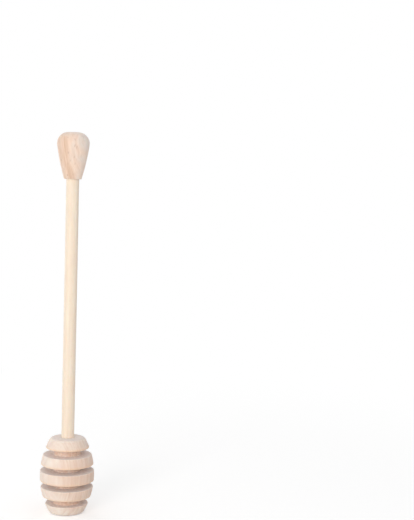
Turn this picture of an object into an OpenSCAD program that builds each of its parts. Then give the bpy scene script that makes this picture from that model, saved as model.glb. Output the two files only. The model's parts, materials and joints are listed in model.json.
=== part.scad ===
// Turned wooden honey dipper: a grooved dipping head, a dowel handle and an end knob.
// The head and the knob each have a blind bore, and the dowel is glued into both.
// The axis is +Z with the head at the bottom, and the origin is the centre of the flat it stands on.

/* [Overall] */
// Length from the flat under the head to the top of the knob
total_len = 178; // [150:0.5:200]

/* [Handle dowel] */
// Diameter of the dowel
dowel_d = 6; // [5:0.5:7]
// Chamfer round each end of the dowel
dowel_chamfer = 0.6; // [0.3:0.1:1]

/* [Dipping head] */
// Diameter of the barrel at its widest
head_d = 25.4; // [23:0.1:27]
// Height of the head
head_h = 35.6; // [34.4:0.2:39]
// Radius of the barrel's side, as seen from beside it
barrel_r = 35.5; // [32:0.5:42]
// Height of the barrel's widest place
belly_z = 17.8; // [16.5:0.1:19.5]
// Radius that rounds the barrel into the flat it stands on
base_round_r = 2.3; // [1:0.1:2.6]
// Radius that rounds the barrel into its top
crown_round_r = 1.9; // [1:0.1:2.6]
// Grooves cut round the head
groove_count = 4; // [2:1:4]
// Width of the grooves between the lowest and the highest
groove_w = 2.7; // [2:0.1:3.2]
// Width of the lowest and the highest groove
end_groove_w = 3.1; // [2:0.1:3.4]
// Distance from one groove to the next
groove_pitch = 7.65; // [7.2:0.05:7.8]
// Height of the lowest groove's middle
groove_first_z = 6.2; // [5.8:0.05:7.2]
// Diameter of the core left between the rings
core_d = 12.4; // [10:0.2:14]
// Radius that eases the edge of each ring
ring_edge_r = 0.35; // [0.2:0.05:0.6]
// Radius left by the tool at the foot of each groove
groove_foot_r = 0.3; // [0.1:0.05:0.5]
// Depth of the bore in the head
head_bore_depth = 15; // [12:0.5:20]

/* [End knob] */
// Height of the knob
knob_h = 21.7; // [19:0.1:24]
// Diameter of the knob at its widest
knob_d = 15; // [13:0.1:16]
// Diameter of the knob's lower end
knob_neck_d = 8; // [7.8:0.1:9.5]
// Radius that rounds the knob's shoulder
knob_shoulder_r = 5.2; // [4:0.1:5.5]
// Radius of the knob's tapering side, as seen from beside it
knob_side_r = 105; // [60:5:140]
// Radius of the knob's gently domed top
knob_dome_r = 80; // [30:5:120]
// Radius that eases the edge of the knob's lower end
knob_edge_r = 0.4; // [0.2:0.05:0.6]
// Depth of the bore in the knob
knob_bore_depth = 11; // [9:0.5:14]

/* [Glue joints] */
// Gap between the dowel and the wall of each bore, which the glue fills
glue_gap = 0.1; // [0.05:0.01:0.15]
// Thickness of the glue under each end of the dowel
glue_pool = 0.6; // [0.3:0.1:1]
// Distance that the glue stays back from the mouth of each bore
glue_setback = 0.5; // [0.3:0.1:1]
// Width of the mark that the drill's centre point leaves in the floor of each bore
spur_d = 1.6; // [1:0.1:2]
// Depth of that mark
spur_h = 0.8; // [0.4:0.1:1]

/* [Hidden] */
head_color = "#E9D5C0";
dowel_color = "#F0E0C8";
knob_color = "#E2C9B5";
glue_color = "#D8B983";
// Segments of a full circle, of each eased edge and of each long curve
round_fn = 128;
edge_steps = 6;
curve_steps = 10;
// How far a cut runs past the face that it opens
overcut = 1;

bore_r = dowel_d / 2 + glue_gap;
core_r = core_d / 2;
knob_z = total_len - knob_h;
dowel_z0 = head_h - head_bore_depth + glue_pool;
dowel_z1 = knob_z + knob_bore_depth - glue_pool;
barrel_centre = [head_d / 2 - barrel_r, belly_z];
groove_z = [for (i = [0:groove_count - 1]) groove_first_z + i * groove_pitch];

// An arc's points about a centre, from one angle to another
function arc(centre, r, from, to, steps) =
    [for (i = [0:steps]) let (a = from + (to - from) * i / steps) centre + r * [cos(a), sin(a)]];

// The angle of a point as seen from a centre
function angle_of(centre, point) = atan2(point.y - centre.y, point.x - centre.x);

// Centre of a small circle of radius r that touches a large arc from inside, at height z
function eased_centre(centre, big_r, r, z) =
    [centre.x + sqrt(pow(big_r - r, 2) - pow(z - centre.y, 2)), z];

// One ring's outline, from its lower face round its rim to its upper face
function ring_outline(z0, z1, r0, r1) =
    let (
        low = eased_centre(barrel_centre, barrel_r, r0, z0 + r0),
        high = eased_centre(barrel_centre, barrel_r, r1, z1 - r1),
        low_a = angle_of(barrel_centre, low),
        high_a = angle_of(barrel_centre, high),
        side = arc(barrel_centre, barrel_r, low_a, high_a, curve_steps)
    )
    concat(
        arc(low, r0, -90, low_a, edge_steps),
        [for (i = [1:curve_steps - 1]) side[i]],
        arc(high, r1, high_a, 90, edge_steps)
    );

// Half the width of one groove
function half_groove(i) = (i == 0 || i == groove_count - 1 ? end_groove_w : groove_w) / 2;

// The floor of one groove, with the radius that the tool leaves on each side of it
function groove_outline(i) =
    let (
        r = groove_foot_r,
        low = [core_r + r, groove_z[i] - half_groove(i) + r],
        high = [core_r + r, groove_z[i] + half_groove(i) - r]
    )
    concat(arc(low, r, 270, 180, edge_steps), arc(high, r, 180, 90, edge_steps));

function ring_bottom(i) = i == 0 ? 0 : groove_z[i - 1] + half_groove(i - 1);
function ring_top(i) = i == groove_count ? head_h : groove_z[i] - half_groove(i);
function ring_low_r(i) = i == 0 ? base_round_r : ring_edge_r;
function ring_high_r(i) = i == groove_count ? crown_round_r : ring_edge_r;

// The whole head's half outline, from the middle of its base to the middle of its top
function head_outline() = concat(
    [[0, 0]],
    [for (i = [0:groove_count])
        each concat(
            ring_outline(ring_bottom(i), ring_top(i), ring_low_r(i), ring_high_r(i)),
            i < groove_count ? groove_outline(i) : []
        )],
    [[0, head_h]]
);

// The knob's half outline: its side, shoulder and domed top are arcs that run smoothly into each other
function knob_outline() =
    let (
        neck = [knob_neck_d / 2, 0],
        dome = [0, knob_h - knob_dome_r],
        shoulder_x = knob_d / 2 - knob_shoulder_r,
        shoulder = [shoulder_x, dome.y + sqrt(pow(knob_dome_r - knob_shoulder_r, 2) - pow(shoulder_x, 2))],
        top_a = angle_of(dome, shoulder),
        reach = knob_side_r - knob_shoulder_r,
        q = shoulder - neck,
        along = (q * q + reach * reach - knob_side_r * knob_side_r) / (2 * reach),
        meet_a = angle_of(neck, shoulder) - acos(along / norm(q)),
        side = shoulder - reach * [cos(meet_a), sin(meet_a)],
        edge = eased_centre(side, knob_side_r, knob_edge_r, knob_edge_r),
        edge_a = angle_of(side, edge),
        long = arc(side, knob_side_r, edge_a, meet_a, curve_steps),
        top = arc(dome, knob_dome_r, top_a, 90, edge_steps)
    )
    concat(
        [[0, 0]],
        arc(edge, knob_edge_r, -90, edge_a, edge_steps),
        [for (i = [1:curve_steps - 1]) long[i]],
        arc(shoulder, knob_shoulder_r, meet_a, top_a, 2 * edge_steps),
        [for (i = [1:edge_steps]) top[i]]
    );

// Turns a half outline about the axis, as a lathe does
module turned(outline) {
    rotate_extrude($fn = round_fn) polygon(outline);
}

// The space that a drill leaves below a mouth at height 0, opened upwards by over
module drilled(depth, over = 0) {
    translate([0, 0, -depth]) cylinder(h = depth + over, r = bore_r, $fn = round_fn);
    translate([0, 0, -depth - spur_h]) cylinder(h = spur_h, r1 = 0, r2 = spur_d / 2, $fn = round_fn);
}

// The rod with its two chamfered ends
module rod() {
    r = dowel_d / 2;
    end_r = r - dowel_chamfer;
    turned([
        [0, dowel_z0],
        [end_r, dowel_z0],
        [r, dowel_z0 + dowel_chamfer],
        [r, dowel_z1 - dowel_chamfer],
        [end_r, dowel_z1],
        [0, dowel_z1]
    ]);
}

// The glue that fills one bore round the end of the dowel, below a mouth at height 0
module glue_fill(depth) {
    intersection() {
        drilled(depth);
        translate([0, 0, -depth - overcut]) cylinder(h = depth + overcut - glue_setback, r = dowel_d, $fn = round_fn);
    }
}

module dipping_head() {
    color(head_color) difference() {
        turned(head_outline());
        translate([0, 0, head_h]) drilled(head_bore_depth, overcut);
    }
}

module handle_dowel() {
    color(dowel_color) rod();
}

module end_knob() {
    color(knob_color) translate([0, 0, knob_z]) difference() {
        turned(knob_outline());
        mirror([0, 0, 1]) drilled(knob_bore_depth, overcut);
    }
}

module head_glue() {
    color(glue_color) difference() {
        translate([0, 0, head_h]) glue_fill(head_bore_depth);
        rod();
    }
}

module knob_glue() {
    color(glue_color) difference() {
        translate([0, 0, knob_z]) mirror([0, 0, 1]) glue_fill(knob_bore_depth);
        rod();
    }
}

dipping_head();
handle_dowel();
end_knob();
head_glue();
knob_glue();
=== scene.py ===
"""A turned wooden honey dipper: a grooved beech head, a birch dowel handle and a beech end knob.

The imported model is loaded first, as a fixed frame. Each wooden piece is then turned over its own
node, with the marks that cutters and sandpaper leave, and dressed in a solid procedural wood.
Outlines are half sections in millimetres: the distance from the axis, then the height.
"""

import json
import logging
import math
import random
from dataclasses import dataclass
from enum import Enum
from typing import Callable, Sequence

import bmesh
import bpy
from mathutils import Matrix, Vector
from mathutils.kdtree import KDTree

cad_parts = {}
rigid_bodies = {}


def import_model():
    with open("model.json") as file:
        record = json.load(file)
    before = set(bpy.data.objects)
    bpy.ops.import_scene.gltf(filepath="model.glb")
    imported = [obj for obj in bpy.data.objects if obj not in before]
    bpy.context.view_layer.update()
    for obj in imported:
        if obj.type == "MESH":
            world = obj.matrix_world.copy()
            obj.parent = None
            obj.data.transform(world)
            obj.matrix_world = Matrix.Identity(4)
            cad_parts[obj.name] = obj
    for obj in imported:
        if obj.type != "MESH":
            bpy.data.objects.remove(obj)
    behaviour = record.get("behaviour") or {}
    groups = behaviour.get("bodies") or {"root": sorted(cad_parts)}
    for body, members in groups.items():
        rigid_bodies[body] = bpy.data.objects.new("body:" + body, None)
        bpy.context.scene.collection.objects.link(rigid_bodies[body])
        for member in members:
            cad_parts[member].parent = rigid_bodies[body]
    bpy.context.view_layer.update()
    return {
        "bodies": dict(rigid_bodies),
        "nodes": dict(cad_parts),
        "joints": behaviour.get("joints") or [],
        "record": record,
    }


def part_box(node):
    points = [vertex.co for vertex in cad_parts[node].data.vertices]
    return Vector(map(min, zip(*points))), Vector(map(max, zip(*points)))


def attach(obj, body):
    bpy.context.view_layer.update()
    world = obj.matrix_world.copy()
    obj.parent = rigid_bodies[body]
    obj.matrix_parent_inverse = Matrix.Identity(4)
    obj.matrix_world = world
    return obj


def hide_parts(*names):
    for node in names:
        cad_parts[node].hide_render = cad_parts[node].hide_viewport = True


MM = 0.001
# The attribute for the torn grain in the grooves, together with painted shade that browns them towards their
# cores
BODY = "root"
TORN_AND_SHADE = "torn_and_shade"
# The attribute for the painted highlight on the rings' lower edges, for light bounced up from the grooves
RIM_HIGHLIGHT = "rim_highlight"
PHOTO_HEIGHT = 520

Point = tuple[float, float]
Span = tuple[float, float]
Socket = bpy.types.NodeSocket
log = logging.getLogger("honey_dipper")


class Cut(Enum):
    """How a blank was sawn from its board: the direction of the tree's pith, in degrees from +X."""

    QUARTER = 190.0
    RIFT = 236.0
    FLAT = 150.0


def linear(code: str) -> tuple[float, float, float, float]:
    """Turns an sRGB colour to linear light.

    Args:
        code: the colour in hex, such as "#E9D5C0".
    Returns:
        Red, green, blue and an opaque alpha.
    """
    channels = [int(code[start:start + 2], 16) / 255 for start in (1, 3, 5)]
    red, green, blue = (c / 12.92 if c <= 0.04045 else ((c + 0.055) / 1.055) ** 2.4 for c in channels)
    return red, green, blue, 1.0


def add_node(
    tree: bpy.types.NodeTree, kind: str, inputs: dict[str | int, object] | None = None, **settings: object
) -> bpy.types.Node:
    """Adds one shader node with its settings and links.

    Args:
        tree: the node tree that takes it.
        kind: its type, such as "ShaderNodeTexNoise".
        inputs: what goes into each input: a socket, or a node's first one, is linked, and anything
            else is set there.
        settings: the node's own settings, such as operation.
    Returns:
        The new node.
    """
    node = tree.nodes.new(kind)
    for name, value in settings.items():
        setattr(node, name, value)
    for name, value in (inputs or {}).items():
        if isinstance(value, bpy.types.Node):
            value = value.outputs[0]
        if isinstance(value, Socket):
            tree.links.new(value, node.inputs[name])
        else:
            node.inputs[name].default_value = value
    return node


@dataclass(frozen=True)
class Wood:
    """A pale wood, sanded and left unfinished, whose grain runs right through the piece.

    Lengths are in millimetres. The pattern's own X points to the pith, so X is across the growth
    rings, Y is along them and Z is along the fibres. A share is how far a colour is mixed in.

    Attributes:
        name: the material's name.
        cut: how the blank was sawn.
        pale, blush, streak, late, ray, end_grain_and_shade: the colours of the plain wood, its pink bands,
            its darker fibres, the end of each year's ring, the rays and the end grain, which on the head is
            greyed further as painted shade on the rings' upper faces.
        pith_away: the distance from the piece's axis to the pith.
        level, lean: the height at which the grain crosses the axis, and its lean in degrees.
        sway, sway_width, sway_length: how far the grain wanders, and over what distances.
        ring, band: the width of a growth ring and of a pink band.
        fibre, fibre_length: the width and the length of a fibre bundle.
        ray_width, ray_height: the size of a ray where it is cut across.
        blush_share, streak_share, late_share, ray_share, end_and_shade_share: the most of each colour.
        blush_turn, blush_middle: how fast the pink deepens across the piece, and where it is half.
        roughness, smoother, rougher: the surface's roughness, and how far it varies either way.
        short_share: how much of the pink is left where the fibres are cut short.
        stain, stain_at, stain_width, stain_share: the colour, place, width and share of one tan ring.
        torn_and_shade_tint, torn_and_shade_share: the colour and share of torn grain and of the painted
            shade that browns each groove towards its core.
        rim_highlight_tint, rim_highlight_share: the colour and share of the painted highlight on each
            ring's lower edge, for light bounced up from the groove below.
        sheen, sheen_roughness: the soft light that the raised fibres catch.
        scatter, scatter_tint, scatter_depth: the light that goes a little way into the wood.
        relief_depth: the height of the raised fibres.
        ior: the index of refraction.
    """

    name: str
    cut: Cut
    pale: str
    blush: str
    streak: str
    late: str
    ray: str
    # Also painted shade: on the head this grey stands for the shade on the rings' upper faces
    end_grain_and_shade: str
    pith_away: float
    level: float
    lean: float
    sway: float
    ring: float
    band: float
    fibre: float
    fibre_length: float
    ray_width: float
    ray_height: float
    blush_share: float
    blush_turn: float
    blush_middle: float
    streak_share: float
    late_share: float
    ray_share: float
    end_and_shade_share: float
    roughness: float
    smoother: float = 0.06
    rougher: float = 0.08
    short_share: float = 0.3
    stain: str = "#C99B72"
    stain_at: float = 0.0
    stain_width: float = 1.0
    stain_share: float = 0.0
    # Torn grain together with painted shade: browns the grooves most near their cores
    torn_and_shade_tint: str = "#B97B49"
    torn_and_shade_share: float = 0.2
    # Painted highlight: a warm tint on each ring's lower edge, for light bounced up from the groove below
    rim_highlight_tint: str = "#F8CC9C"
    rim_highlight_share: float = 0.5
    sheen: float = 0.35
    sheen_roughness: float = 0.6
    scatter: float = 0.12
    scatter_tint: tuple[float, float, float] = (1.0, 0.6, 0.35)
    scatter_depth: float = 0.7
    relief_depth: float = 0.06
    ior: float = 1.5
    sway_width: float = 9.0
    sway_length: float = 30.0

    def material(self) -> bpy.types.Material:
        """Builds the node tree.

        Returns:
            The finished material.
        """
        made = bpy.data.materials.new(self.name)
        made.use_nodes = True
        tree = made.node_tree
        shader = tree.nodes["Principled BSDF"]
        shader.inputs["IOR"].default_value = self.ior
        shader.inputs["Sheen Weight"].default_value = self.sheen
        shader.inputs["Sheen Roughness"].default_value = self.sheen_roughness
        shader.inputs["Subsurface Weight"].default_value = self.scatter
        shader.inputs["Subsurface Radius"].default_value = self.scatter_tint
        shader.inputs["Subsurface Scale"].default_value = self.scatter_depth * MM
        straight, grain = self.grain(tree)
        bundles, hairs = self.fibres(tree, grain)
        ends = self.facing(tree, Vector((0, 0, 1)))
        colour = self.bands(tree, grain, ends)
        colour = self.streaks(tree, bundles, hairs, colour)
        if self.stain_share:
            colour = self.dark_ring(tree, grain, bundles, colour)
        colour = self.growth(tree, grain, colour)
        colour = self.rays(tree, straight, colour)
        colour, end = self.end_face_and_shade(tree, ends, hairs, colour)
        colour = self.tool_marks_and_painted_light(tree, straight, colour)
        rough = add_node(tree, "ShaderNodeMapRange", {
            "Value": hairs, "To Min": self.roughness - self.smoother,
            "To Max": self.roughness + self.rougher})
        tree.links.new(colour, shader.inputs["Base Color"])
        tree.links.new(rough.outputs[0], shader.inputs["Roughness"])
        tree.links.new(self.relief(tree, hairs, end), shader.inputs["Normal"])
        return made

    def mix(self, tree: bpy.types.NodeTree, share: Socket, under: Socket | str, over: str) -> Socket:
        """Lays a colour over another by a share that varies.

        Args:
            tree: the material's node tree.
            share: how far the upper colour covers, from 0 to 1.
            under: the colour below, as a socket or in hex.
            over: the colour above, in hex.
        Returns:
            The blend.
        """
        if isinstance(under, str):
            under = linear(under)
        blend = add_node(tree, "ShaderNodeMix", {0: share, 6: under, 7: linear(over)}, data_type="RGBA")
        return blend.outputs[2]

    def grain(self, tree: bpy.types.NodeTree) -> tuple[Socket, Socket]:
        """Turns Object coordinates to millimetres in the tree's own directions.

        Args:
            tree: the material's node tree.
        Returns:
            The straight coordinates, and the swaying ones that the grain follows.
        """
        lean = math.radians(self.lean)
        turn = Matrix.Rotation(lean, 3, "Y") @ Matrix.Rotation(math.radians(-self.cut.value), 3, "Z")
        here = add_node(tree, "ShaderNodeTexCoord")
        straight = add_node(tree, "ShaderNodeMapping", {
            "Vector": here.outputs["Object"], "Rotation": turn.to_euler("XYZ"), "Scale": (1 / MM,) * 3,
            "Location": (-self.pith_away - self.level * math.sin(lean), 0, 0)}).outputs[0]
        slow = add_node(tree, "ShaderNodeVectorMath", {
            0: straight, 1: (1 / self.sway_width, 1 / self.sway_width, 1 / self.sway_length)},
            operation="MULTIPLY")
        wander = add_node(tree, "ShaderNodeTexNoise", {"Vector": slow, "Scale": 1.0, "Detail": 2.0})
        moved = add_node(tree, "ShaderNodeVectorMath", {
            0: wander.outputs["Color"], 1: (self.sway, self.sway, 0), 2: straight}, operation="MULTIPLY_ADD")
        return straight, moved.outputs[0]

    def fibres(self, tree: bpy.types.NodeTree, grain: Socket) -> tuple[Socket, Socket]:
        """Draws the fibre bundles, and the single fibres and pores as finer and shorter hairs.

        Args:
            tree: the material's node tree.
            grain: the swaying coordinates.
        Returns:
            The bundles and the hairs, each from 0 to 1.
        """
        found = []
        for width, length in ((self.fibre, self.fibre_length), (self.fibre / 2, self.fibre_length / 4)):
            drawn = add_node(tree, "ShaderNodeVectorMath", {
                0: grain, 1: (1 / width, 0.25 / width, 1 / length)}, operation="MULTIPLY")
            noise = add_node(tree, "ShaderNodeTexNoise", {"Vector": drawn, "Scale": 0.5, "Detail": 2.0})
            spread = add_node(tree, "ShaderNodeMapRange", {
                "Value": noise, "From Min": 0.32, "From Max": 0.72})
            found.append(spread.outputs[0])
        return found[0], found[1]

    def facing(self, tree: bpy.types.NodeTree, way: Vector) -> Socket:
        """Finds how squarely the surface faces a direction or its opposite.

        Args:
            tree: the material's node tree.
            way: the direction.
        Returns:
            A share from 0 to 1.
        """
        shape = add_node(tree, "ShaderNodeNewGeometry")
        turned = add_node(tree, "ShaderNodeVectorMath", {
            0: shape.outputs["Normal"], 1: way}, operation="DOT_PRODUCT")
        return add_node(tree, "ShaderNodeMath", {0: turned.outputs["Value"]}, operation="ABSOLUTE").outputs[0]

    def bands(self, tree: bpy.types.NodeTree, grain: Socket, ends: Socket) -> Socket:
        """Blends the pale wood with its pink bands, which follow the rings and deepen to one side.

        Args:
            tree: the material's node tree.
            grain: the swaying coordinates.
            ends: how squarely the surface cuts the fibres, which look paler where they are cut short.
        Returns:
            The blended colour.
        """
        broad = add_node(tree, "ShaderNodeVectorMath", {
            0: grain, 1: (1 / self.band, 0.3 / self.band, 0.4 / self.band)}, operation="MULTIPLY")
        tint = add_node(tree, "ShaderNodeTexNoise", {"Vector": broad, "Scale": 1.0, "Detail": 1.0})
        across = add_node(tree, "ShaderNodeSeparateXYZ", {0: grain})
        deeper = add_node(tree, "ShaderNodeMath", {
            0: across.outputs["X"], 1: self.blush_turn, 2: tint}, operation="MULTIPLY_ADD")
        middle = 0.5 + self.blush_turn * (self.blush_middle - self.pith_away)
        warm = add_node(tree, "ShaderNodeMapRange", {
            "Value": deeper, "From Min": middle - 0.2, "From Max": middle + 0.2})
        lengthwise = add_node(tree, "ShaderNodeMapRange", {
            "Value": ends, "From Min": 0.15, "From Max": 0.6, "To Min": self.blush_share,
            "To Max": self.blush_share * self.short_share})
        share = add_node(tree, "ShaderNodeMath", {0: warm, 1: lengthwise}, operation="MULTIPLY")
        return self.mix(tree, share.outputs[0], self.pale, self.blush)

    def streaks(self, tree: bpy.types.NodeTree, bundles: Socket, hairs: Socket, colour: Socket) -> Socket:
        """Lays the darker fibres over the wood, plainest where the growth rings are cut across.

        Args:
            tree: the material's node tree.
            bundles: the fibre bundles.
            hairs: the single fibres.
            colour: the colour so far.
        Returns:
            The colour with the streaks.
        """
        cut = math.radians(self.cut.value)
        beside = self.facing(tree, Vector((-math.sin(cut), math.cos(cut), 0)))
        share = add_node(tree, "ShaderNodeMapRange", {
            "Value": beside, "From Min": 0.2, "From Max": 0.9, "To Min": self.streak_share * 0.4,
            "To Max": self.streak_share})
        lines = add_node(tree, "ShaderNodeMath", {0: bundles, 1: hairs}, operation="ADD")
        dark = add_node(tree, "ShaderNodeMath", {0: lines, 1: share}, operation="MULTIPLY")
        return self.mix(tree, dark.outputs[0], colour, self.streak)

    def dark_ring(
        self, tree: bpy.types.NodeTree, grain: Socket, bundles: Socket, colour: Socket
    ) -> Socket:
        """Lays the one tan ring that some boards have, which darkens slowly and ends sharply.

        Args:
            tree: the material's node tree.
            grain: the swaying coordinates.
            bundles: the fibre bundles, which break the ring up.
            colour: the colour so far.
        Returns:
            The colour with the ring.
        """
        across = add_node(tree, "ShaderNodeSeparateXYZ", {0: grain})
        edge = self.stain_at - self.pith_away
        slow = add_node(tree, "ShaderNodeMapRange", {
            "Value": across.outputs["X"], "From Min": edge, "From Max": edge + self.stain_width,
            "To Min": self.stain_share, "To Max": 0.0})
        sharp = add_node(tree, "ShaderNodeMapRange", {
            "Value": across.outputs["X"], "From Min": edge - 1.0, "From Max": edge},
            interpolation_type="SMOOTHSTEP")
        broken = add_node(tree, "ShaderNodeMapRange", {"Value": bundles, "To Min": 0.3, "To Max": 1.7})
        soft = add_node(tree, "ShaderNodeMath", {0: slow, 1: sharp}, operation="MULTIPLY")
        share = add_node(tree, "ShaderNodeMath", {0: soft, 1: broken}, operation="MULTIPLY")
        return self.mix(tree, share.outputs[0], colour, self.stain)

    def growth(self, tree: bpy.types.NodeTree, grain: Socket, colour: Socket) -> Socket:
        """Draws the growth rings, each shading slowly to its late wood and ending sharply.

        Args:
            tree: the material's node tree.
            grain: the swaying coordinates.
            colour: the colour so far.
        Returns:
            The colour with the rings.
        """
        level = add_node(tree, "ShaderNodeVectorMath", {0: grain, 1: (1, 1, 0)}, operation="MULTIPLY")
        out = add_node(tree, "ShaderNodeVectorMath", {0: level}, operation="LENGTH")
        years = add_node(tree, "ShaderNodeMath", {
            0: out.outputs["Value"], 1: 1 / self.ring}, operation="MULTIPLY")
        weather = add_node(tree, "ShaderNodeTexNoise", {
            "W": years, "Scale": 0.3, "Detail": 1.0}, noise_dimensions="1D")
        uneven = add_node(tree, "ShaderNodeMath", {0: weather, 1: 2.0, 2: years}, operation="MULTIPLY_ADD")
        season = add_node(tree, "ShaderNodeMath", {0: uneven}, operation="FRACT")
        rise = add_node(tree, "ShaderNodeMapRange", {
            "Value": season, "From Min": 0.3, "From Max": 0.9, "To Max": self.late_share},
            interpolation_type="SMOOTHSTEP")
        fall = add_node(tree, "ShaderNodeMapRange", {
            "Value": season, "From Min": 0.88, "From Max": 1.0, "To Min": 1.0, "To Max": 0.0})
        line = add_node(tree, "ShaderNodeMath", {0: rise, 1: fall}, operation="MULTIPLY")
        return self.mix(tree, line.outputs[0], colour, self.late)

    def rays(self, tree: bpy.types.NodeTree, straight: Socket, colour: Socket) -> Socket:
        """Draws the wood's rays: upright sheets that reach towards the pith, cut across as thin dashes.

        Args:
            tree: the material's node tree.
            straight: the straight coordinates.
            colour: the colour so far.
        Returns:
            The colour with the dashes.
        """
        cell = add_node(tree, "ShaderNodeVectorMath", {
            0: straight, 1: (0.5, 0.4 / self.ray_width, 0.4 / self.ray_height)}, operation="MULTIPLY")
        sheet = add_node(tree, "ShaderNodeTexVoronoi", {"Vector": cell, "Scale": 1.0})
        shape = add_node(tree, "ShaderNodeMapRange", {
            "Value": sheet.outputs["Distance"], "From Min": 0.08, "From Max": 0.26,
            "To Min": self.ray_share, "To Max": 0.0}, interpolation_type="SMOOTHSTEP")
        chance = add_node(tree, "ShaderNodeSeparateColor", {0: sheet.outputs["Color"]})
        seen = add_node(tree, "ShaderNodeMath", {0: shape, 1: chance}, operation="MULTIPLY")
        return self.mix(tree, seen.outputs[0], colour, self.ray)

    def end_face_and_shade(
        self, tree: bpy.types.NodeTree, ends: Socket, hairs: Socket, colour: Socket
    ) -> tuple[Socket, Socket]:
        """Greys the end grain, whose open fibres take the light less. On the head the grey is also painted
        shade for the rings' upper faces in the grooves.

        Args:
            tree: the material's node tree.
            ends: how squarely the surface cuts the fibres.
            hairs: the single fibres.
            colour: the colour so far.
        Returns:
            The colour with its end grain and painted shade, and how much of the end grain a place shows.
        """
        # End grain, greyed further on the head as painted shade on the rings' upper faces
        end = add_node(tree, "ShaderNodeMapRange", {
            "Value": ends, "From Min": 0.75, "From Max": 0.98, "To Max": self.end_and_shade_share})
        speckle = add_node(tree, "ShaderNodeMapRange", {"Value": hairs, "To Min": 0.6, "To Max": 1.4})
        porous_and_shade = add_node(tree, "ShaderNodeMath", {0: end, 1: speckle}, operation="MULTIPLY")
        return self.mix(tree, porous_and_shade.outputs[0], colour, self.end_grain_and_shade), end.outputs[0]

    def tool_marks_and_painted_light(self, tree: bpy.types.NodeTree, straight: Socket, colour: Socket) -> Socket:
        """Darkens the torn grain and the painted shade in the grooves in specks, and lays a warm painted
        highlight on the rings' lower edges, where the piece has them.

        Real torn fibres are too fine to show, so the specks are drawn about a millimetre wide.

        Args:
            tree: the material's node tree.
            straight: the straight coordinates.
            colour: the colour so far.
        Returns:
            The finished colour.
        """
        grit = add_node(tree, "ShaderNodeTexNoise", {"Vector": straight, "Scale": 0.9, "Detail": 3.0})
        specks = add_node(tree, "ShaderNodeMapRange", {
            "Value": grit, "From Min": 0.42, "From Max": 0.6, "To Min": 0.3, "To Max": 2.4})
        # Torn grain and painted shade: darkens the grooves in specks, most near their cores
        torn_and_shade = add_node(tree, "ShaderNodeAttribute", attribute_name=TORN_AND_SHADE)
        speckled_tear_and_shade = add_node(tree, "ShaderNodeMath", {
            0: torn_and_shade.outputs["Fac"], 1: specks}, operation="MULTIPLY")
        # Painted highlight: warms each ring's lower edge, as light bounced up from the groove below would
        rim_highlight = add_node(tree, "ShaderNodeAttribute", attribute_name=RIM_HIGHLIGHT)
        for mark, tint, share in (
            (speckled_tear_and_shade.outputs[0], self.torn_and_shade_tint, self.torn_and_shade_share),
            (rim_highlight.outputs["Fac"], self.rim_highlight_tint, self.rim_highlight_share),
        ):
            much = add_node(tree, "ShaderNodeMath", {0: mark, 1: share}, operation="MULTIPLY")
            colour = self.mix(tree, much.outputs[0], colour, tint)
        return colour

    def relief(self, tree: bpy.types.NodeTree, hairs: Socket, end: Socket) -> Socket:
        """Raises the single fibres, and leaves the cutter's rings, 0.4 mm apart, on the end grain.

        Args:
            tree: the material's node tree.
            hairs: the single fibres.
            end: how much of the end grain a place shows.
        Returns:
            The bumped normal.
        """
        here = add_node(tree, "ShaderNodeTexCoord")
        wide = add_node(tree, "ShaderNodeVectorMath", {
            0: here.outputs["Object"], 1: (1 / MM,) * 3}, operation="MULTIPLY")
        rings = add_node(tree, "ShaderNodeTexWave", {
            "Vector": wide, "Scale": 0.8, "Distortion": 0.6},
            wave_type="RINGS", rings_direction="Z")
        height = add_node(tree, "ShaderNodeMath", {
            0: rings.outputs["Fac"], 1: end, 2: hairs}, operation="MULTIPLY_ADD")
        bump = add_node(tree, "ShaderNodeBump", {
            "Height": height, "Strength": 0.35, "Distance": self.relief_depth * MM})
        return bump.outputs["Normal"]


@dataclass(frozen=True)
class Glue:
    """Dried white wood glue: a clouded amber film, with a soft gloss where it squeezed out."""

    name: str = "wood_glue_dried"
    amber: str = "#D8B983"
    milky: str = "#E8D9B8"
    roughness: float = 0.3
    ior: float = 1.47
    cloud: float = 1.5

    def material(self) -> bpy.types.Material:
        """Builds the node tree.

        Returns:
            The finished material.
        """
        made = bpy.data.materials.new(self.name)
        made.use_nodes = True
        tree = made.node_tree
        shader = tree.nodes["Principled BSDF"]
        shader.inputs["IOR"].default_value = self.ior
        shader.inputs["Roughness"].default_value = self.roughness
        here = add_node(tree, "ShaderNodeTexCoord")
        cloud = add_node(tree, "ShaderNodeTexNoise", {
            "Vector": here.outputs["Object"], "Scale": 1 / (self.cloud * MM), "Detail": 2.0})
        colour = add_node(tree, "ShaderNodeMix", {
            0: cloud, 6: linear(self.amber), 7: linear(self.milky)}, data_type="RGBA")
        tree.links.new(colour.outputs[2], shader.inputs["Base Color"])
        return made


def along(start: Point, end: Point, step: float) -> list[Point]:
    """Points on a straight stretch of an outline.

    Args:
        start: where the stretch starts, which is left out.
        end: where it ends, which is the last point.
        step: the longest distance between points.
    Returns:
        The points.
    """
    count = max(1, math.ceil(math.dist(start, end) / step))
    return [
        (start[0] + (end[0] - start[0]) * i / count, start[1] + (end[1] - start[1]) * i / count)
        for i in range(1, count + 1)
    ]


def arc(centre: Point, radius: float, start: float, end: float, step: float) -> list[Point]:
    """Points on a round stretch of an outline.

    Args:
        centre: the arc's centre.
        radius: its radius.
        start: the angle of the first point, in degrees from the outward direction.
        end: the angle of the last point.
        step: the longest distance between points.
    Returns:
        The points.
    """
    count = max(4, math.ceil(radius * math.radians(abs(end - start)) / step))
    turns = [math.radians(start + (end - start) * i / count) for i in range(count + 1)]
    return [(centre[0] + radius * math.cos(t), centre[1] + radius * math.sin(t)) for t in turns]


def bearing(centre: Point, point: Point) -> float:
    """The angle of a point as seen from a centre, in degrees."""
    return math.degrees(math.atan2(point[1] - centre[1], point[0] - centre[0]))


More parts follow.
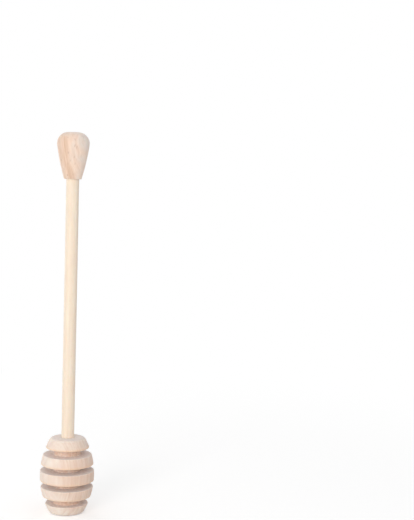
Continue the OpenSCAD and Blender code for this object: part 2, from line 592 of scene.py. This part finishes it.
def deselect_all() -> None:
    """Leaves object mode with nothing selected."""
    if bpy.context.object and bpy.context.object.mode != "OBJECT":
        bpy.ops.object.mode_set(mode="OBJECT")
    bpy.ops.object.select_all(action="DESELECT")


def draw_outline(points: Sequence[Point]) -> None:
    """Draws a half outline in edit mode, by extruding one vertex from point to point.

    Args:
        points: the outline in millimetres, from the axis back to the axis.
    """
    bpy.ops.mesh.primitive_plane_add(size=MM, location=(0, 0, 0))
    bpy.ops.object.mode_set(mode="EDIT")
    bpy.ops.mesh.merge(type="CENTER")
    bpy.ops.transform.translate(value=(points[0][0] * MM, 0, points[0][1] * MM))
    for last, point in zip(points, points[1:]):
        step = ((point[0] - last[0]) * MM, 0, (point[1] - last[1]) * MM)
        bpy.ops.mesh.extrude_region_move(TRANSFORM_OT_translate={"value": step})


def spin_outline(segments: int, seam: float = 0.004) -> None:
    """Sweeps the drawn outline round the axis and closes its seam and its two poles.

    Args:
        segments: the number of steps in the full turn.
        seam: the widest gap that is closed, in millimetres.
    """
    bpy.ops.object.mode_set(mode="OBJECT")
    bpy.ops.object.transform_apply(location=True)
    bpy.ops.object.modifier_add(type="SCREW")
    sweep = bpy.context.object.modifiers[-1]
    sweep.steps = sweep.render_steps = segments
    bpy.ops.object.modifier_apply(modifier=sweep.name)
    bpy.ops.object.mode_set(mode="EDIT")
    bpy.ops.mesh.select_all(action="SELECT")
    bpy.ops.mesh.remove_doubles(threshold=seam * MM)
    bpy.ops.mesh.normals_make_consistent(inside=False)
    bpy.ops.object.mode_set(mode="OBJECT")


def weigh(piece: bpy.types.Object, name: str, share: Callable[[float, float], float]) -> None:
    """Gives a piece a vertex group whose weights follow the place on the half outline.

    Args:
        piece: the object.
        name: the group's name.
        share: the weight at a distance from the axis and a height, in millimetres.
    """
    group = piece.vertex_groups.new(name=name)
    for vertex in piece.data.vertices:
        weight = share(math.hypot(vertex.co.x, vertex.co.y) / MM, vertex.co.z / MM)
        if weight > 0:
            group.add([vertex.index], min(weight, 1.0), "REPLACE")


def paint(piece: bpy.types.Object, name: str, share: Callable[[float, float], float]) -> None:
    """Gives a piece an attribute that its wood reads, from the place on the half outline.

    Args:
        piece: the object.
        name: the attribute's name.
        share: its value at a distance from the axis and a height, in millimetres.
    """
    marks = piece.data.attributes.new(name, "FLOAT", "POINT")
    for vertex, mark in zip(piece.data.vertices, marks.data):
        mark.value = min(1.0, max(0.0, share(math.hypot(vertex.co.x, vertex.co.y) / MM, vertex.co.z / MM)))


def roughen(piece: bpy.types.Object, group: str, grit: float, depth: float, stretch: float) -> None:
    """Moves a weighted part of a surface in and out, as a cutter or sandpaper leaves it.

    Args:
        piece: the object.
        group: the vertex group that limits the work.
        grit: the size of one bump across the grain, in millimetres.
        depth: how far the highest bump stands above the deepest hollow, in millimetres.
        stretch: how many times longer a bump is along the grain.
    """
    texture = bpy.data.textures.new(group, "CLOUDS")
    texture.noise_scale = 1.0
    texture.noise_depth = 2
    bpy.ops.object.empty_add(location=(0, 0, 0))
    ruler = bpy.context.object
    ruler.scale = (grit * MM, grit * MM, grit * stretch * MM)
    deselect_all()
    bpy.context.view_layer.objects.active = piece
    piece.select_set(True)
    bpy.ops.object.modifier_add(type="DISPLACE")
    marks = piece.modifiers[-1]
    marks.texture = texture
    marks.texture_coords = "OBJECT"
    marks.texture_coords_object = ruler
    marks.vertex_group = group
    marks.strength = depth * MM
    bpy.ops.object.modifier_apply(modifier=marks.name)
    bpy.data.objects.remove(ruler)
    bpy.data.textures.remove(texture)


@dataclass
class TurnedPiece:
    """What every piece from the lathe shares. Lengths are in millimetres."""

    name: str
    node: str
    slot: str
    finish: Wood
    segments: int
    step: float

    def __post_init__(self) -> None:
        """Takes the piece's place and size from the frame."""
        low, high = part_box(self.node)
        self.bottom = low[2] / MM
        self.top = high[2] / MM
        self.radius = (high[1] - low[1]) / 2 / MM

    def outline(self) -> list[Point]:
        """The half outline, from the axis back to the axis."""
        raise NotImplementedError

    def mark(self, piece: bpy.types.Object) -> None:
        """Leaves the piece's tool marks on its mesh."""

    def build(self) -> bpy.types.Object:
        """Turns the piece, marks it and dresses it.

        Returns:
            The finished object, in place of its node.
        """
        deselect_all()
        draw_outline(self.outline())
        spin_outline(self.segments)
        piece = bpy.context.object
        piece.name = piece.data.name = self.name
        self.mark(piece)
        piece.vertex_groups.clear()
        deselect_all()
        piece.select_set(True)
        bpy.context.view_layer.objects.active = piece
        bpy.ops.object.shade_smooth()
        piece.data.materials.append(self.finish.material())
        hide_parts(self.node)
        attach(piece, BODY)
        log.info("%s: %d faces, %.1f mm tall", self.name, len(piece.data.polygons), self.top - self.bottom)
        return piece


@dataclass
class DippingHead(TurnedPiece):
    """The barrel-shaped head, with deep grooves between its rings and a blind bore for the dowel.

    Attributes:
        slack: how far past a groove's edge a place still counts as in the groove.
        rough_reach, torn_and_shade_reach: how far out from the core its surface is rough, and its grain
            torn and browned with painted shade.
        torn_and_shade_core, torn_and_shade_rise: how torn and painted with shade the core itself is, and
            how much more for each millimetre out.
        rim_start: how far out from the core the sanded rims begin.
        sanded_fade: the height over which their unevenness grows from nothing, above the base.
        rim_highlight_height, rim_highlight_width: how far the painted highlight on a ring's lower edge
            reaches up the rim, and in from it.
        chips, chip_seed: the number of chips, and the seed of their places.
        chip_deep, chip_wide: the least and the most depth and width of a chip.
        chip_inset, chip_slope: how far a chip's middle is from the edge, and how it slants.
    """

    barrel_radius: float = 35.5
    belly: float = 17.8
    base_round: float = 2.3
    crown_round: float = 1.9
    grooves: int = 4
    groove_width: float = 2.7
    end_groove_width: float = 3.1
    groove_pitch: float = 7.65
    first_groove: float = 6.2
    core_radius: float = 6.2
    edge_round: float = 0.35
    foot_round: float = 0.3
    bore_radius: float = 3.1
    bore_depth: float = 15.0
    spur_radius: float = 0.8
    spur_depth: float = 0.8
    slack: float = 0.1
    rough_reach: float = 0.8
    # Reach and strength of the torn grain and of the painted shade in the grooves
    torn_and_shade_reach: float = 5.5
    torn_and_shade_core: float = 0.6
    torn_and_shade_rise: float = 0.5
    rim_start: float = 1.0
    sanded_fade: float = 1.5
    # Reach of the painted highlight on the rings' lower edges
    rim_highlight_height: float = 1.3
    rim_highlight_width: float = 0.9
    chips: int = 26
    chip_seed: int = 7
    chip_deep: Span = (0.1, 0.3)
    chip_wide: Span = (0.5, 1.1)
    chip_inset: float = 0.12
    chip_slope: float = 0.7

    def groove_edges(self) -> list[Span]:
        """The two edges of each groove.

        Returns:
            The heights of the lower and the upper edge, from the lowest groove up.
        """
        edges = []
        for number in range(self.grooves):
            outer = number in (0, self.grooves - 1)
            half = (self.end_groove_width if outer else self.groove_width) / 2
            middle = self.first_groove + number * self.groove_pitch
            edges.append((middle - half, middle + half))
        return edges

    def ring(self, low: float, high: float, low_round: float, high_round: float) -> list[Point]:
        """One ring's outline, from its lower face round its rim to its upper face.

        Args:
            low: the height of the lower face.
            high: the height of the upper face.
            low_round: the radius that eases the lower edge.
            high_round: the radius that eases the upper edge.
        Returns:
            The points.
        """
        barrel = (self.radius - self.barrel_radius, self.belly)

        def eased(radius: float, height: float) -> Point:
            """The centre of an edge's arc, which touches the barrel from inside."""
            reach = math.sqrt((self.barrel_radius - radius) ** 2 - (height - barrel[1]) ** 2)
            return barrel[0] + reach, height

        under = eased(low_round, low + low_round)
        over = eased(high_round, high - high_round)
        under_angle, over_angle = bearing(barrel, under), bearing(barrel, over)
        return [
            *arc(under, low_round, -90, under_angle, self.step)[:-1],
            *arc(barrel, self.barrel_radius, under_angle, over_angle, self.step)[:-1],
            *arc(over, high_round, over_angle, 90, self.step),
        ]

    def outline(self) -> list[Point]:
        """The base, the rings with the grooves between them, the top and the bore.

        Returns:
            The points, from the middle of the base to the foot of the bore.
        """
        foot, core = self.foot_round, self.core_radius
        edges = self.groove_edges()
        lows = [self.bottom, *(upper for _, upper in edges)]
        highs = [*(lower for lower, _ in edges), self.top]
        points = [(0.0, self.bottom)]
        for number, (low, high) in enumerate(zip(lows, highs)):
            first, last = number == 0, number == self.grooves
            rim = self.ring(
                low, high, self.base_round if first else self.edge_round,
                self.crown_round if last else self.edge_round)
            points += along(points[-1], rim[0], self.step) + rim[1:]
            if not last:
                under = arc((core + foot, high + foot), foot, 270, 180, self.step)
                over = arc((core + foot, lows[number + 1] - foot), foot, 180, 90, self.step)
                points += along(points[-1], under[0], self.step) + under[1:]
                points += along(points[-1], over[0], self.step) + over[1:]
        floor = self.top - self.bore_depth
        points += along(points[-1], (self.bore_radius, self.top), self.step)
        points += [(self.bore_radius, floor), (self.spur_radius, floor), (0.0, floor - self.spur_depth)]
        return points

    def mark(self, piece: bpy.types.Object) -> None:
        """Leaves torn grain in the grooves, a soft unevenness on the sanded rims and small chips, and stores
        painted shade for the grooves and a painted highlight for the rings' lower edges.

        Args:
            piece: the head's object.
        """
        edges = self.groove_edges()
        barrel = self.radius - self.barrel_radius

        def near_core(out: float, height: float, reach: float) -> float:
            """How near a place in a groove is to its core, as a share of a reach."""
            inside = any(lower - self.slack < height < upper + self.slack for lower, upper in edges)
            return max(0.0, 1 - (out - self.core_radius) / reach) if inside else 0.0

        def torn_and_shade(out: float, height: float) -> float:
            """How torn a place in a groove is, and how far painted shade browns it: most at the foot of its
            two faces.
            """
            much = self.torn_and_shade_core + self.torn_and_shade_rise * abs(out - self.core_radius)
            return near_core(out, height, self.torn_and_shade_reach) * min(1.0, much)

        def sanded(out: float, height: float) -> float:
            """How far a place has the sanded outside's unevenness, which fades towards the base."""
            outside = out > self.core_radius + self.rim_start
            return (height - self.bottom) / self.sanded_fade if outside else 0.0

        def rim_highlight(out: float, height: float) -> float:
            """Finds how near a place is to the lower edge of a ring's rim, where a warm painted highlight
            stands for light bounced up from the groove below.

            Args:
                out: the distance from the axis.
                height: the height.
            Returns:
                A share from 0 to 1.
            """
            rim = barrel + math.sqrt(self.barrel_radius ** 2 - (height - self.belly) ** 2)
            below = [upper for _, upper in edges if height > upper - self.slack]
            above = height - max(below, default=-math.inf)
            return max(0.0, 1 - above / self.rim_highlight_height) * max(0.0, 1 - (rim - out) / self.rim_highlight_width)

        weigh(piece, "core", lambda out, height: near_core(out, height, self.rough_reach))
        weigh(piece, "sanded", sanded)
        # Torn grain, with painted shade deep in the grooves
        paint(piece, TORN_AND_SHADE, torn_and_shade)
        # Painted highlight on the rings' lower edges, for light bounced up from the grooves below
        paint(piece, RIM_HIGHLIGHT, rim_highlight)
        roughen(piece, "sanded", grit=4.0, depth=0.09, stretch=2.0)
        roughen(piece, "core", grit=0.7, depth=0.22, stretch=2.2)
        self.chip(piece, edges)

    def chip(self, piece: bpy.types.Object, edges: list[Span]) -> None:
        """Breaks small chips from the edges of the rings.

        Args:
            piece: the head's object.
            edges: the lower and the upper edge of each groove.
        """
        draw = random.Random(self.chip_seed)
        places = KDTree(len(piece.data.vertices))
        for vertex in piece.data.vertices:
            places.insert(vertex.co, vertex.index)
        places.balance()
        deselect_all()
        bpy.context.view_layer.objects.active = piece
        piece.select_set(True)
        bpy.ops.object.mode_set(mode="EDIT")
        for _ in range(self.chips):
            turn = draw.uniform(0, math.tau)
            side = draw.choice((-1, 1))
            height = draw.choice(edges)[(side + 1) // 2] + side * self.chip_inset
            deep, wide = draw.uniform(*self.chip_deep), draw.uniform(*self.chip_wide)
            out = self.radius - self.barrel_radius
            out += math.sqrt(self.barrel_radius ** 2 - (height - self.belly) ** 2)
            edge = Vector((out * math.cos(turn), out * math.sin(turn), height)) * MM
            bpy.ops.mesh.select_all(action="DESELECT")
            shape = bmesh.from_edit_mesh(piece.data)
            shape.verts.ensure_lookup_table()
            shape.verts[places.find(edge)[1]].select_set(True)
            inward = Vector((-math.cos(turn), -math.sin(turn), side * self.chip_slope))
            inward = inward.normalized() * deep * MM
            bpy.ops.transform.translate(
                value=inward, use_proportional_edit=True, proportional_edit_falloff="SHARP",
                proportional_size=wide * MM)
        bpy.ops.object.mode_set(mode="OBJECT")


@dataclass
class HandleDowel(TurnedPiece):
    """The long dowel, chamfered at both ends, that is glued into the head and the knob.

    Attributes:
        skin: how near to the full radius a place has to be to count as the rod's side.
    """

    chamfer: float = 0.6
    skin: float = 0.1

    def outline(self) -> list[Point]:
        """The rod's straight side between its two chamfers.

        Returns:
            The points, from the lower end to the upper end.
        """
        inner = self.radius - self.chamfer
        side = [(self.radius, self.bottom + self.chamfer), (self.radius, self.top - self.chamfer)]
        return [
            (0.0, self.bottom), (inner, self.bottom), side[0], *along(side[0], side[1], self.step),
            (inner, self.top), (0.0, self.top),
        ]

    def mark(self, piece: bpy.types.Object) -> None:
        """Leaves the long shallow flats of the rod cutter.

        Args:
            piece: the dowel's object.
        """
        weigh(piece, "rod_side", lambda out, height: 1.0 if out > self.radius - self.skin else 0.0)
        roughen(piece, "rod_side", grit=2.2, depth=0.06, stretch=12.0)


@dataclass
class EndKnob(TurnedPiece):
    """The knob at the handle's end, which swells from its neck to a rounded, gently domed top.

    Attributes:
        mouth_rim: how far outside the bore the sanded surface begins.
    """

    neck_radius: float = 4.0
    shoulder_round: float = 5.2
    side_radius: float = 105.0
    dome_radius: float = 80.0
    edge_round: float = 0.4
    bore_radius: float = 3.1
    bore_depth: float = 11.0
    spur_radius: float = 0.8
    spur_depth: float = 0.8
    mouth_rim: float = 0.2

    def outline(self) -> list[Point]:
        """The bore, the lower end, the tapering side, the shoulder and the domed top.

        Returns:
            The points, from the end of the bore to the middle of the top.
        """
        neck = (self.neck_radius, self.bottom)
        dome = (0.0, self.top - self.dome_radius)
        out = self.radius - self.shoulder_round
        shoulder = (out, dome[1] + math.sqrt((self.dome_radius - self.shoulder_round) ** 2 - out ** 2))
        reach = self.side_radius - self.shoulder_round
        span = math.dist(neck, shoulder)
        beside = (span ** 2 + reach ** 2 - self.side_radius ** 2) / (2 * reach)
        meet = bearing(neck, shoulder) - math.degrees(math.acos(beside / span))
        side = (
            shoulder[0] - reach * math.cos(math.radians(meet)),
            shoulder[1] - reach * math.sin(math.radians(meet)))
        edge_height = self.bottom + self.edge_round
        edge_out = math.sqrt((self.side_radius - self.edge_round) ** 2 - (edge_height - side[1]) ** 2)
        edge = (side[0] + edge_out, edge_height)
        edge_angle, top_angle = bearing(side, edge), bearing(dome, shoulder)
        low_edge = arc(edge, self.edge_round, -90, edge_angle, self.step)
        ceiling = self.bottom + self.bore_depth
        mouth = (self.bore_radius, self.bottom)
        return [
            (0.0, ceiling + self.spur_depth), (self.spur_radius, ceiling), (self.bore_radius, ceiling), mouth,
            *along(mouth, low_edge[0], self.step), *low_edge[1:-1],
            *arc(side, self.side_radius, edge_angle, meet, self.step)[:-1],
            *arc(shoulder, self.shoulder_round, meet, top_angle, self.step)[:-1],
            *arc(dome, self.dome_radius, top_angle, 90, self.step)[:-1],
            (0.0, self.top),
        ]

    def mark(self, piece: bpy.types.Object) -> None:
        """Leaves the soft unevenness of sanding.

        Args:
            piece: the knob's object.
        """
        weigh(piece, "sanded", lambda out, height: 1.0 if out > self.bore_radius + self.mouth_rim else 0.0)
        roughen(piece, "sanded", grit=3.0, depth=0.08, stretch=2.0)


@dataclass
class GlueJoints:
    """The glue in the two bores, which stays as it is in the frame and takes its finish here."""

    nodes: tuple[str, ...] = ("head_glue", "knob_glue")
    finish: Glue = Glue()

    def build(self, frame: dict) -> None:
        """Dresses the glue's nodes.
        """
        amber = self.finish.material()
        for name in self.nodes:
            film = frame["nodes"][name]
            film.data.materials.clear()
            film.data.materials.append(amber)
            log.info("%s: dressed as dried glue", name)


@dataclass(frozen=True)
class Lamp:
    """A square soft light that faces the dipper. Lengths are in metres."""

    name: str
    place: tuple[float, float, float]
    size: float
    power: float
    target: tuple[float, float, float] = (0, 0, 0.08)

    def hang(self) -> None:
        """Hangs the lamp."""
        light = bpy.data.lights.new(self.name, "AREA")
        light.size = self.size
        light.energy = self.power
        lamp = bpy.data.objects.new(self.name, light)
        aim = (Vector(self.target) - Vector(self.place)).to_track_quat("-Z", "Y")
        lamp.matrix_world = Matrix.Translation(self.place) @ aim.to_matrix().to_4x4()
        bpy.context.collection.objects.link(lamp)


@dataclass
class Studio:
    """The plain floor, the soft lights and the camera.

    Lengths are in metres and angles in degrees.

    Attributes:
        floor_size, floor_gap: the floor's side, and how far it lies below the dipper.
        clear_floor, far_floor: the distances at which the floor starts and ends its fade to white.
        floor_grey, floor_seen: its colour as it lights the dipper, and as the camera sees it.
        floor_glow: the light that tops it up to white for the camera.
        floor_roughness: the roughness of its paper.
        sky_low, sky_high: the sky's strength at the horizon and straight above.
        lamps: the soft lights.
        distance, eye_height: the camera's distance from the axis and its height.
        yaw, pitch, roll: how far it is turned to the right, tipped down and rolled.
        focal_pixels, sensor: its focal length in pixels, and its sensor's longer side in millimetres.
    """

    floor_size: float = 3.0
    floor_gap: float = 0.02 * MM
    clear_floor: float = 0.05
    far_floor: float = 0.4
    floor_grey: str = "#E6E6E6"
    floor_seen: str = "#F7F7F7"
    floor_glow: float = 0.28
    floor_roughness: float = 0.9
    sky_low: float = 0.82
    sky_high: float = 0.55
    lamps: tuple[Lamp, ...] = (
        Lamp("key_light", (-0.27, -0.62, 0.2), 0.3, 1.84),
        Lamp("back_light", (-0.32, 0.54, 0.14), 0.3, 0.6),
    )
    distance: float = 0.5189
    eye_height: float = 0.1539
    yaw: float = 6.98
    pitch: float = 3.7
    roll: float = 1.56
    focal_pixels: float = 1111.6
    sensor: float = 36.0

    def build(self) -> None:
        """Makes the floor, the lights and the camera."""
        self.make_camera()
        self.make_floor()
        self.make_sky()
        for lamp in self.lamps:
            lamp.hang()

    def make_camera(self) -> None:
        """Places the camera where the photograph was taken from."""
        lens = bpy.data.cameras.new("camera")
        lens.sensor_width = self.sensor
        lens.lens = self.focal_pixels * self.sensor / PHOTO_HEIGHT
        lens.clip_start = 0.01
        camera = bpy.data.objects.new("camera", lens)
        turned = (
            Matrix.Rotation(math.radians(-self.yaw), 4, "Z")
            @ Matrix.Rotation(math.radians(90 - self.pitch), 4, "X")
            @ Matrix.Rotation(math.radians(self.roll), 4, "Z"))
        camera.matrix_world = Matrix.Translation((0, -self.distance, self.eye_height)) @ turned
        bpy.context.collection.objects.link(camera)
        bpy.context.scene.camera = camera

    def in_view(self, tree: bpy.types.NodeTree) -> Socket:
        """Tells what the camera sees from what only lights the dipper.

        Args:
            tree: the node tree of the floor or the sky.
        Returns:
            1 where the camera sees it, also by gloss or through glass, and 0 elsewhere.
        """
        ray = add_node(tree, "ShaderNodeLightPath")
        seen = ray.outputs["Is Camera Ray"]
        for way in ("Is Glossy Ray", "Is Transmission Ray"):
            seen = add_node(tree, "ShaderNodeMath", {
                0: seen, 1: ray.outputs[way]}, operation="ADD", use_clamp=True).outputs[0]
        return seen

    def make_floor(self) -> None:
        """Lays the pale floor, which is topped up to white and fades to plain white further away."""
        deselect_all()
        bpy.ops.mesh.primitive_plane_add(size=self.floor_size, location=(0, 0, -self.floor_gap))
        floor = bpy.context.object
        floor.name = "floor"
        # Plain uncoated paper: matt and even, so that only the dipper's soft shadow shows on it
        paper = bpy.data.materials.new("matt_white_paper")
        paper.use_nodes = True
        tree = paper.node_tree
        sheet = tree.nodes["Principled BSDF"]
        sheet.inputs["Roughness"].default_value = self.floor_roughness
        seen = self.in_view(tree)
        tone = add_node(tree, "ShaderNodeMix", {
            0: seen, 6: linear(self.floor_grey), 7: linear(self.floor_seen)}, data_type="RGBA")
        tree.links.new(tone.outputs[2], sheet.inputs["Base Color"])
        here = add_node(tree, "ShaderNodeTexCoord")
        out = add_node(tree, "ShaderNodeVectorMath", {0: here.outputs["Object"]}, operation="LENGTH")
        far = add_node(tree, "ShaderNodeMapRange", {
            "Value": out.outputs["Value"], "From Min": self.clear_floor, "From Max": self.far_floor},
            interpolation_type="SMOOTHSTEP")
        glow = add_node(tree, "ShaderNodeMath", {0: seen, 1: self.floor_glow}, operation="MULTIPLY")
        sheet.inputs["Emission Color"].default_value = (1, 1, 1, 1)
        tree.links.new(glow.outputs[0], sheet.inputs["Emission Strength"])
        fade = add_node(tree, "ShaderNodeMath", {0: far, 1: seen}, operation="MULTIPLY")
        white = add_node(tree, "ShaderNodeEmission")
        mixed = add_node(tree, "ShaderNodeMixShader", {0: fade, 1: sheet, 2: white})
        tree.links.new(mixed.outputs[0], tree.nodes["Material Output"].inputs["Surface"])
        floor.data.materials.append(paper)

    def make_sky(self) -> None:
        """Lights the dipper from all round, less from straight above, and shows plain white behind it."""
        world = bpy.data.worlds.new("studio")
        bpy.context.scene.world = world
        world.use_nodes = True
        tree = world.node_tree
        soft = tree.nodes["Background"]
        soft.inputs["Color"].default_value = (1, 1, 1, 1)
        way = add_node(tree, "ShaderNodeTexCoord")
        height = add_node(tree, "ShaderNodeSeparateXYZ", {0: way.outputs["Generated"]})
        level = add_node(tree, "ShaderNodeMapRange", {
            "Value": height.outputs["Z"], "To Min": self.sky_low, "To Max": self.sky_high})
        tree.links.new(level.outputs[0], soft.inputs["Strength"])
        white = add_node(tree, "ShaderNodeBackground", {"Color": (1, 1, 1, 1), "Strength": 1.0})
        mixed = add_node(tree, "ShaderNodeMixShader", {0: self.in_view(tree), 1: soft, 2: white})
        tree.links.new(mixed.outputs[0], tree.nodes["World Output"].inputs["Surface"])


# Beech, turned and sanded: pale cream, smooth at the left where the growth rings lie flat, with
# faint fine lines at the right where they are cut across. Real fibres are too fine to show, so
# the lines are drawn about a millimetre apart.
# The head's end grain colour is greyed past the wood's own, as painted shade on the rings' upper faces
HEAD_BEECH = Wood(
    name="beech_turned_and_sanded", cut=Cut.RIFT, pale="#F9ECDF", blush="#F0D5C3", streak="#D5AC8E",
    late="#D3A98C", ray="#CBA88C", end_grain_and_shade="#DECDC6", pith_away=60.0, level=17.8, lean=1.0, sway=0.8,
    ring=1.15, band=6.0, fibre=0.45, fibre_length=22.0, ray_width=0.25, ray_height=1.6, blush_share=1.0,
    blush_turn=-0.03, blush_middle=9.5, streak_share=0.34, late_share=0.07, ray_share=0.25, end_and_shade_share=0.7,
    roughness=0.66, short_share=0.0, torn_and_shade_share=0.18)

# Birch, cut to a rod and sanded: smooth, yellowish and almost plain, with faint long streaks.
DOWEL_BIRCH = Wood(
    name="birch_rod_sanded", cut=Cut.QUARTER, pale="#F7E8D3", blush="#F6E0CC", streak="#E8CDB0",
    late="#E8CFB6", ray="#E2C3A6", end_grain_and_shade="#E4D6D0", pith_away=70.0, level=94.0, lean=0.5, sway=1.2,
    ring=2.4, band=3.5, fibre=0.5, fibre_length=20.0, ray_width=0.25, ray_height=1.4, blush_share=0.5,
    blush_turn=0.0, blush_middle=0.0, streak_share=0.18, late_share=0.15, ray_share=0.2, end_and_shade_share=0.4,
    roughness=0.6)

# Beech again, from a pinker board sawn on the flat and leaning a little: soft streaks that follow
# the taper, one of them tan at the left, and thin dark dashes where rays are cut across.
KNOB_BEECH = Wood(
    name="pink_beech_turned_and_sanded", cut=Cut.FLAT, pale="#F4E6DB", blush="#F9DFCC", streak="#CFA582",
    late="#CFA47D", ray="#B58E70", end_grain_and_shade="#FCEDE2", pith_away=55.0, level=164.0, lean=-5.5, sway=1.2,
    ring=1.9, band=2.6, fibre=0.3, fibre_length=12.0, ray_width=0.3, ray_height=2.2, blush_share=1.0,
    blush_turn=0.05, blush_middle=-5.5, streak_share=0.24, late_share=0.06, ray_share=0.6, end_and_shade_share=0.5,
    roughness=0.68, short_share=0.8, stain_at=-0.9, stain_width=14.0, stain_share=0.34)


def main() -> None:
    """Builds the dipper round the frame, then the studio."""
    logging.basicConfig(level=logging.INFO, format="%(name)s: %(message)s")
    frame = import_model()
    Studio().build()
    DippingHead("turned_head", "dipping_head", "head_wood", HEAD_BEECH, segments=288, step=0.36).build()
    HandleDowel("handle_rod", "handle_dowel", "dowel_wood", DOWEL_BIRCH, segments=96, step=1.0).build()
    EndKnob("turned_knob", "end_knob", "knob_wood", KNOB_BEECH, segments=192, step=0.3).build()
    GlueJoints().build(frame)
    bpy.context.scene.view_settings.view_transform = "Standard"


if __name__ == "__main__":
    main()
